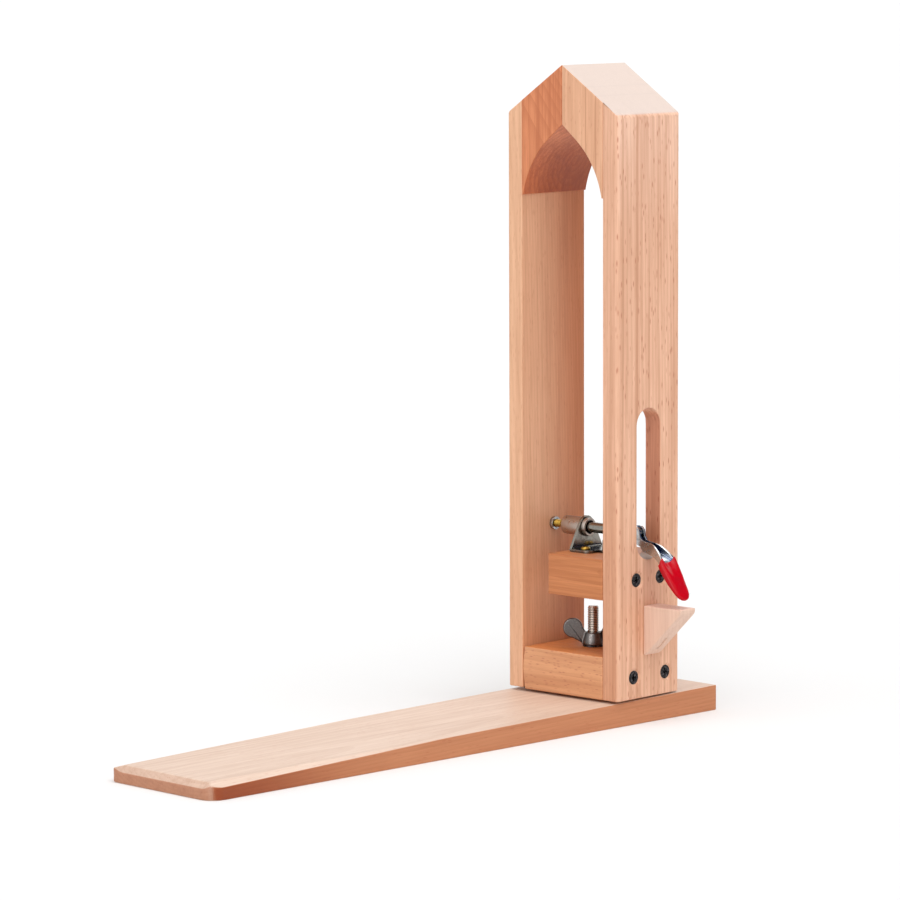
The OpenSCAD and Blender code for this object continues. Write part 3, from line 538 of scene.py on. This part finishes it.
class CLAMP_OT_blocks(bpy.types.Operator):
    """Makes the bottom block, the cross block and the stop wedge"""

    bl_idname = "clamp.blocks"
    bl_label = "Blocks and wedge"

    def execute(self, context):
        wood = context.scene.stitching_clamp.wood
        bottom = beech("Oiled beech bottom block", wood.bottom_colour, "Y", (100, 50),
                       flecks=(0.8, 1.5, 6.0), tints=[(TOP, "MULTIPLY", "#f9d5a7")])
        # The bolt's hole keeps its edges at the block's underside and on its top
        spots = screw_spots(*LOWER_SCREWS, (-JAW_IN, JAW_IN))
        spots += [(head_spot(0, 0, height), 7 * MM) for height in (0, 30.6)]
        eased_copy("bottom_block", wood.edge_ease, bottom, 3, spots)
        cross = beech("Oiled beech cross block", wood.cross_colour, "Y", (60, 90), ring=1.6, wave=5.0,
                      contrast=0.75, flecks=(0.3, 1.2, 5.0))
        spots = screw_spots(*UPPER_SCREWS, (-JAW_IN,)) + screw_spots(*BRACKET_SCREWS, (-3.0,))
        eased_copy("cross_block", wood.edge_ease, cross, 3, spots)
        wedge = beech("Pale beech wedge", wood.wedge_colour, pith=(50, 20), contrast=0.25,
                      flecks=(0.15, 1.5, 8.0), tints=[(TOP, "MULTIPLY", "#f9f2f5")])
        nail = (head_spot(2.6, -61.6, 38.4), 4 * MM)
        eased_copy("stop_wedge", wood.edge_ease, wedge, 3, [nail])
        return {"FINISHED"}


class CLAMP_OT_screws(bpy.types.Operator):
    """Makes the black wood screws and the yellow bracket screws"""

    bl_idname = "clamp.screws"
    bl_label = "Screws"

    def execute(self, context):
        metal = context.scene.stitching_clamp.metal
        black = black_oxide("Black oxide screws", metal.black_colour)
        for node in ("jaw_screws_upper", "jaw_screws_lower", "rocker_screws"):
            eased_copy(node, 0.2 * MM, black, 2)
        # Painted shade: the yellow zinc turns dark brown in its recesses
        yellow = plated_steel("Yellow zinc bracket screws", metal.yellow_colour, 0.25, "#2e2413", 2.0)
        eased_copy("bracket_screws", 0.3 * MM, yellow, 2)
        return {"FINISHED"}


class CLAMP_OT_swivel(bpy.types.Operator):
    """Makes the threaded swivel bolt, its washers and the cast wing nut"""

    bl_idname = "clamp.swivel"
    bl_label = "Swivel and wing nut"

    def execute(self, context):
        settings = context.scene.stitching_clamp
        metal = settings.metal
        # Painted shade: the thread's valleys are darkened
        zinc = plated_steel("Rolled and plated bolt", metal.bolt_colour, 0.2, depth=1.0, worn=0.0)
        finish_piece("swivel_bolt_piece", threaded_bolt(metal.bolt_pitch), "swivel_bolt", zinc)
        black = black_oxide("Black oxide washer", metal.black_colour)
        eased_copy("nut_washer", metal.edge_ease, black, 2)
        washer = rubber("Black rubber spacer washer", settings.grip.washer_colour)
        eased_copy("spacer_washer", metal.edge_ease, washer, 2)
        iron = sand_casting("Malleable iron wing nut", metal.casting_colour)
        eased_copy("wing_nut", 0.9 * MM, iron, 3)
        return {"FINISHED"}


def threaded_bolt(pitch):
    """The bolt as a turned outline: a domed head, a plain shank and a thread whose radius falls and rises
    once in every pitch: r = outer - depth * (1.5 (1 - |2p - 1|) - 0.4) held within the crest and the root,
    where p is the share of a pitch past the helix. The tip is broken by half a millimetre."""
    outer, depth, sink = 4.0 * MM, 0.6 * MM, 5 * MM
    thread_start, tip, rows = 28 * MM, 0.6 * MM, 620
    _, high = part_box("swivel_bolt")
    top = high[2]
    dome = np.array([[0.02, 1], [6, 1], [9.2, 2.6], [10, 4], [10, 5], [4.0, 5]]) * MM
    z = np.concatenate([dome[:, 1], np.linspace(sink + 0.05 * MM, top, rows), [top]])
    r = np.concatenate([dome[:, 0], np.full(rows, outer), [0.02 * MM]])
    turn = np.linspace(0, 2 * np.pi, 48, endpoint=False)
    Z, T = np.meshgrid(z, turn, indexing="ij")
    R = np.repeat(r[:, None], len(turn), 1)
    phase = (Z / pitch - T / (2 * np.pi)) % 1
    cut = depth * np.clip(1.5 * (1 - np.abs(2 * phase - 1)) - 0.4, 0, 1)
    R = R - cut * ((Z > thread_start) & (R > 3 * MM) & (R < 4.1 * MM))
    R = np.where(Z > top - tip, np.minimum(R, outer - 0.5 * MM), R)
    bolt = np.stack([SWIVEL.x + R * np.cos(T), R * np.sin(T), Z], -1)
    return grid_mesh("swivel_bolt_thread", bolt, close_ends=True)


def threaded_spindle(pitch):
    """The spindle as an outline turned round the head's depth axis: a ball, r = 1.9 cos a, a neck, and a
    thread to its far end, r = outer - depth (1 - |2p - 1|), where p is the share of a pitch past the
    helix."""
    outer, depth, round_end = 2.8 * MM, 0.45 * MM, 1.9 * MM
    ball, neck, shoulder, start, end, rows = 25.166 * MM, 28.4 * MM, 28.55 * MM, 28.6 * MM, 47.5 * MM, 260
    a = np.linspace(-np.pi / 2, math.radians(46), 14)
    y = np.concatenate([ball + round_end * np.sin(a), [neck, shoulder], np.linspace(start, end, rows), [end]])
    r = np.concatenate([round_end * np.cos(a) + 1e-5, [1.3 * MM, 2.5 * MM], np.full(rows, outer), [1e-5]])
    turn = np.linspace(0, 2 * np.pi, 40, endpoint=False)
    Y, T = np.meshgrid(y, turn, indexing="ij")
    R = np.repeat(r[:, None], len(turn), 1)
    phase = (Y / pitch - T / (2 * np.pi)) % 1
    R = R - depth * (1 - np.abs(2 * phase - 1)) * ((Y > 29.2 * MM) & (Y < 47.4 * MM))
    spindle = head_place(R * np.sin(T), Y, AXIS_H + R * np.cos(T))
    return grid_mesh("spindle_thread", spindle, close_ends=True)


class CLAMP_OT_toggle(bpy.types.Operator):
    """Makes the toggle clamp: bracket, barrel, links, plunger, pins, spindle and insert nut"""

    bl_idname = "clamp.toggle"
    bl_label = "Toggle clamp"

    def execute(self, context):
        metal = context.scene.stitching_clamp.metal
        sheet = plated_steel("Dull zinc plated sheet", metal.sheet_colour, 0.2, worn=0.3)
        zinc = plated_steel("Bright zinc plated steel", metal.zinc_colour, 0.26)
        nickel = plated_steel("Turned and nickel plated steel", metal.nickel_colour, 0.3, worn=0.2)
        eased_copy("clamp_bracket", 0.6 * metal.edge_ease, sheet, 2)
        for node in ("toggle_link_left", "toggle_link_right", "link_pin", "plunger_pin", "insert_nut"):
            eased_copy(node, metal.edge_ease, zinc, 2)
        eased_copy("guide_barrel", metal.edge_ease, nickel, 2)
        ground = plated_steel("Ground steel plunger", metal.sheet_colour, 0.13)
        eased_copy("plunger", metal.edge_ease, ground, 2)
        # Painted shade: the yellow zinc turns dark brown in its recesses
        yellow = plated_steel("Yellow zinc spindle", metal.yellow_colour, 0.27, "#2e2413", 2.0)
        finish_piece("spindle_piece", threaded_spindle(metal.spindle_pitch), "spindle", yellow)
        return {"FINISHED"}


def lever_frame(points):
    """Points in millimetres along the lever from its pivot, away from its web, and across it."""
    c, s = math.cos(HEAD_TURN), math.sin(HEAD_TURN)
    off = points - np.array(SWIVEL)
    across = (off[:, 0] * c + off[:, 1] * s) / MM
    dy = (off[:, 1] * c - off[:, 0] * s) / MM - PIVOT[0]
    dh = off[:, 2] / MM - PIVOT[1]
    a = LEVER_ANGLE
    return dy * math.cos(a) + dh * math.sin(a), dy * math.sin(a) - dh * math.cos(a), across


def from_lever_frame(u, v, across):
    """The same points, in metres in the board's frame."""
    a = LEVER_ANGLE
    dy = u * math.cos(a) + v * math.sin(a)
    dh = u * math.sin(a) - v * math.cos(a)
    return head_place(across * MM, (dy + PIVOT[0]) * MM, (dh + PIVOT[1]) * MM)


def tuck_into_grip(points):
    """Lowers the lever's flanges and shortens its tip where the vinyl covers them: past the mouth, v is
    held between two lines that close in towards the tip."""
    mouth, tip = 31, 57.5
    u, v, across = lever_frame(points)
    low = np.interp(u, (33, 46, 57), (7.3, 5.6, 5.3))
    high = np.interp(u, (31, 33, 38, 46, 57), (10.9, 9.7, 8.6, 7.4, 5.6))
    v = np.where(u > mouth, np.clip(v, low, high), v)
    return from_lever_frame(np.minimum(u, tip), v, across)


def dipped_grip(lip):
    """The vinyl grip: rounded oblong sections carried along the lever, x = w * |cos t| ^ 0.55 and
    v = middle + h * |sin t| ^ 0.55 with their signs, hollowed between the flanges near the mouth. The mouth
    rises over both flanges, its lip rolls inwards, and the tip closes like an egg. Millimetres throughout:
    each table below gives stations along the lever and the size there."""
    square, rows, tip, egg = 0.55, 56, 62.3, 54.5
    t = np.linspace(0, 2 * np.pi, 72, endpoint=False)[None, :]
    x_share = np.sign(np.cos(t)) * np.abs(np.cos(t)) ** square
    v_share = np.sign(np.sin(t)) * np.abs(np.sin(t)) ** square
    rise = np.clip(1.25 * np.abs(x_share), 0, 1) ** 3 * np.clip(v_share, 0, 1) ** 0.7
    mouth = 32.3 - 2.6 * rise
    lip_along = np.array([4.0, 0.7, 0.2, 0.0, 0.1, 0.5])[:, None]
    lip_inset = np.array([1.1, 1.0, 0.8, 0.45, 0.15, 0.0])[:, None] * (lip / MM)
    share = 1 - (1 - np.linspace(0.03, 1, rows)[:, None]) ** 1.5
    u = np.vstack([mouth + lip_along, mouth + (tip - mouth) * share])
    inset = np.vstack([np.repeat(lip_inset, t.size, 1), np.zeros((rows, t.size))])
    width = np.interp(u, (30, 32, 36, 42, 50, 56, 62), (8.1, 8.6, 8.7, 8.3, 7.5, 6.8, 6.2))
    top = np.interp(u, (30, 33, 36, 40, 44, 48, 52, 56, 62),
                    (12.9, 12.0, 11.4, 10.8, 10.2, 9.4, 8.6, 7.9, 6.8))
    bottom = np.interp(u, (31, 36, 42, 48, 54, 62), (5.6, 4.7, 3.9, 3.6, 3.9, 4.2))
    valley = np.interp(u, (31, 34, 38, 44, 50), (3.2, 2.4, 1.5, 0.6, -0.2))
    late = np.clip((u - egg) / (tip - egg), 0, 1)
    plan = np.maximum(1 - late ** 2.3, 1e-5) ** (1 / 2.3)
    side = np.maximum(1 - late ** 3.5, 1e-5) ** (1 / 3.5)
    x = x_share * (width - inset) * plan
    half = ((top - bottom) / 2 - inset) * side
    hollow = valley * np.clip(1 - (x_share / 0.8) ** 2, 0, 1) ** 1.3 * np.clip(v_share, 0, 1) * side
    v = (top + bottom) / 2 + v_share * half - hollow
    return grid_mesh("dipped_grip", from_lever_frame(u, v, x), close_ends=True)


class CLAMP_OT_lever(bpy.types.Operator):
    """Makes the pressed lever, its rivets and the red grip"""

    bl_idname = "clamp.lever"
    bl_label = "Lever and grip"

    def execute(self, context):
        settings = context.scene.stitching_clamp
        # Inside its channel the lever turns dark blue: painted shade and a painted reflection of a dark blue
        # surround
        zinc = plated_steel("Bright zinc plated lever", settings.metal.zinc_colour, 0.22, "#40608e", 7.0)
        eased_copy("handle_lever", 0.2 * MM, zinc, 2, shaper=tuck_into_grip)
        eased_copy("lever_rivets", settings.metal.edge_ease, zinc, 2)
        vinyl = dipped_vinyl("Red dipped vinyl", settings.grip.vinyl_colour)
        finish_piece("handle_grip_piece", dipped_grip(settings.grip.lip), "handle_grip", vinyl)
        return {"FINISHED"}


def link(scene, name, data):
    """A new object of the stage."""
    made = bpy.data.objects.new(name, data)
    scene.collection.objects.link(made)
    return made


def photo_camera(scene):
    """The camera that took the photo, measured from its vanishing lines and the object's own edges: its
    turn, rise and roll in degrees, the spot that it faces and its distance from there in millimetres, and
    its focal length in pixels of the photo, which is 900 wide."""
    turn, rise, roll = math.radians(-44.178151), math.radians(6.790064), math.radians(-0.2155952)
    spot, distance, focal, photo_width = Vector((23.546634, 0, 201.709212)), 3129.6618, 4563.0003, 900
    back = Vector((math.sin(turn) * math.cos(rise), -math.cos(turn) * math.cos(rise), math.sin(rise)))
    right = Vector((math.cos(turn), math.sin(turn), 0))
    up = back.cross(right)
    side = right * math.cos(roll) + up * math.sin(roll)
    top = up * math.cos(roll) - right * math.sin(roll)
    lens = bpy.data.cameras.new("Photo camera")
    lens.sensor_width = 36
    lens.lens = focal * 36 / photo_width
    lens.clip_end = 200
    camera = link(scene, "Photo camera", lens)
    camera.matrix_world = Matrix((side, top, back)).transposed().to_4x4()
    camera.location = spot * MM + back * distance * MM
    scene.camera = camera


def paper_floor(scene, tone):
    """One wide plain disc, r = reach * s ^ 2, so that its rings are finer near the object."""
    reach = 60
    around = np.linspace(0, 2 * np.pi, 72, endpoint=False)
    s, t = np.meshgrid(np.linspace(0.001, 1, 24), around, indexing="ij")
    disc = np.stack([s * s * reach * np.cos(t), s * s * reach * np.sin(t), 0 * s], -1)
    floor = link(scene, "Floor", grid_mesh("Floor", disc))
    floor.data.materials.append(matt("Matt white paper floor", tone, 0.9))


def room_light(scene, strength):
    """Even white light from all round. The camera, polish and glass see plain white there instead."""
    world = bpy.data.worlds.new("Studio")
    scene.world = world
    world.use_nodes = True
    tree = world.node_tree
    tree.nodes.clear()
    path = add(tree, "ShaderNodeLightPath").outputs
    inputs = {0: path["Is Camera Ray"], 1: path["Is Glossy Ray"]}
    seen = add(tree, "ShaderNodeMath", inputs, operation="ADD").outputs[0]
    inputs = {0: seen, 1: path["Is Transmission Ray"]}
    seen = add(tree, "ShaderNodeMath", inputs, operation="ADD", use_clamp=True).outputs[0]
    white = (1, 1, 1, 1)
    even = add(tree, "ShaderNodeBackground", {"Color": white, "Strength": strength}).outputs[0]
    plain = add(tree, "ShaderNodeBackground", {"Color": white, "Strength": 1.0}).outputs[0]
    mixed = add(tree, "ShaderNodeMixShader", {0: seen, 1: even, 2: plain}).outputs[0]
    add(tree, "ShaderNodeOutputWorld", {"Surface": mixed})


def turn_lamp(lamp, towards):
    """Turns a lamp to shine one way."""
    lamp.rotation_mode = "QUATERNION"
    lamp.rotation_quaternion = towards.to_track_quat("-Z", "Y")


def soft_suns(scene, key, fill):
    """Two soft suns: the key from above and from the right of the camera, the fill from its left."""
    for name, strength, towards, angle in (("Key", key, (0.25, 0.85, -1.9), 50),
                                           ("Fill", fill, (1.0, 0.35, -1.0), 70)):
        sun = bpy.data.lights.new(name, "SUN")
        sun.energy = strength
        sun.angle = math.radians(angle)
        turn_lamp(link(scene, name, sun), Vector(towards))


def bright_panels(scene, middle, gleam):
    """Panels that only polish reflects, 2.5 m from the object: one above, and one beside the camera."""
    for name, way, wide, tall, share in (("Top panel", (0.66, 0.25, 0.71), 1.6, 1.6, 0.8),
                                         ("Side panel", (-0.96, -0.2, 0.15), 1.3, 2.2, 1.0)):
        panel = bpy.data.lights.new(name, "AREA")
        panel.shape = "RECTANGLE"
        panel.size, panel.size_y = wide, tall
        panel.energy = share * gleam * math.pi * wide * tall
        lamp = link(scene, name, panel)
        lamp.location = middle + 2.5 * Vector(way)
        turn_lamp(lamp, -Vector(way))
        lamp.visible_camera = lamp.visible_diffuse = False


def dark_flag(scene, middle, tone):
    """A dark upright sheet that only polish reflects, place + i * side + j * rise, 2.2 m from the object."""
    way, rise = Vector((0.75, -0.55, 0.32)).normalized(), Vector((0, 0, 1))
    side = way.cross(rise).normalized()
    i, j = np.meshgrid((-1.0, 1.0), (-0.9, 1.3), indexing="ij")
    sheet = np.array(middle + 2.2 * way) + i[..., None] * np.array(side) + j[..., None] * np.array(rise)
    flag = link(scene, "Dark flag", grid_mesh("Dark flag", sheet, around=False))
    flag.data.materials.append(matt("Dark felt flag", tone, 1.0))
    flag.visible_camera = flag.visible_diffuse = flag.visible_shadow = flag.visible_transmission = False


class CLAMP_OT_stage(bpy.types.Operator):
    """Makes the camera, the lights and the floor"""

    bl_idname = "clamp.stage"
    bl_label = "Stage"

    def execute(self, context):
        scene = context.scene
        stage = scene.stitching_clamp.stage
        middle = SWIVEL + Vector((0, 0, 0.22))
        photo_camera(scene)
        paper_floor(scene, stage.floor_colour)
        room_light(scene, stage.sky)
        soft_suns(scene, stage.key, stage.fill)
        bright_panels(scene, middle, stage.gleam)
        dark_flag(scene, middle, stage.flag_colour)
        scene.view_settings.view_transform = "Standard"
        return {"FINISHED"}


class ClampSettings(bpy.types.PropertyGroup):
    """All that a user may change"""

    wood: PointerProperty(type=WoodSettings)
    metal: PointerProperty(type=MetalSettings)
    grip: PointerProperty(type=GripSettings)
    stage: PointerProperty(type=StageSettings)


OPERATORS = (CLAMP_OT_stage, CLAMP_OT_board, CLAMP_OT_jaws, CLAMP_OT_blocks, CLAMP_OT_screws,
             CLAMP_OT_swivel, CLAMP_OT_toggle, CLAMP_OT_lever)


class CLAMP_PT_panel(bpy.types.Panel):
    """Lists the sizes, the colours and the pieces"""

    bl_idname = "CLAMP_PT_panel"
    bl_label = "Stitching clamp"
    bl_space_type = "VIEW_3D"
    bl_region_type = "UI"
    bl_category = "Clamp"

    def draw(self, context):
        settings = context.scene.stitching_clamp
        for group in (settings.wood, settings.metal, settings.grip, settings.stage):
            box = self.layout.box()
            for name in group.bl_rna.properties.keys():
                if name not in ("rna_type", "name"):
                    box.prop(group, name)
        for kind in OPERATORS:
            self.layout.operator(kind.bl_idname)


CLASSES = (WoodSettings, MetalSettings, GripSettings, StageSettings, ClampSettings, *OPERATORS,
           CLAMP_PT_panel)


def register():
    for kind in CLASSES:
        bpy.utils.register_class(kind)
    bpy.types.Scene.stitching_clamp = PointerProperty(type=ClampSettings)


def unregister():
    del bpy.types.Scene.stitching_clamp
    for kind in reversed(CLASSES):
        bpy.utils.unregister_class(kind)


def main():
    register()
    for kind in OPERATORS:
        group, name = kind.bl_idname.split(".")
        getattr(getattr(bpy.ops, group), name)()
    bpy.context.view_layer.update()


if __name__ == "__main__":
    main()
